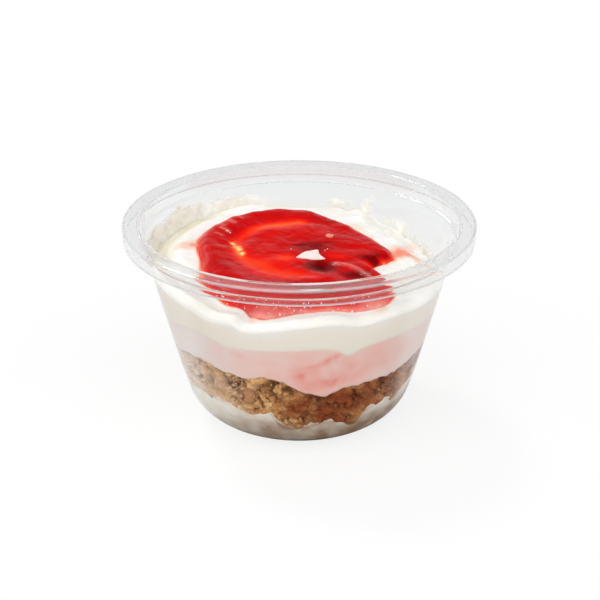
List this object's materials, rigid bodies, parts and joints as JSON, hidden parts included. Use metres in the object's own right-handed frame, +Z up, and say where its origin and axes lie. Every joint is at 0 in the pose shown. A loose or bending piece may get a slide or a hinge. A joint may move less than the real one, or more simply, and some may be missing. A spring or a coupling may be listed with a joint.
{
  "type": "strawberry cheesecake cup",
  "caption": "Layered strawberry cheesecake dessert in a clear flared plastic cup: cream, biscuit crumb, pink mousse, swirled white cream and red fruit sauce.",
  "frame": {"origin": "middle of the cup's underside, on the surface that it stands on", "axes": "+Z up along the cup's axis; -Y is the side that faces the camera in the picture, +X its right"},
  "size_m": [0.095, 0.095, 0.0559],
  "materials": {
    "clear_plastic": "clear thermoformed plastic, glossy",
    "cream_base": "cream cheese filling pressed against the cup",
    "biscuit_crumb": "coarse golden-brown biscuit crumb, matte",
    "mousse": "pale pink strawberry mousse with redder streaks",
    "cream_top": "soft white cream, satin, spooned into folds",
    "sauce": "translucent wet fruit sauce, glossy"
  },
  "bodies": {
    "root": {"cup": "clear_plastic", "base_cream": "cream_base", "crumb_layer": "biscuit_crumb", "pink_mousse": "mousse", "top_cream": "cream_top", "fruit_sauce": "sauce"}
  },
  "joints": []
}
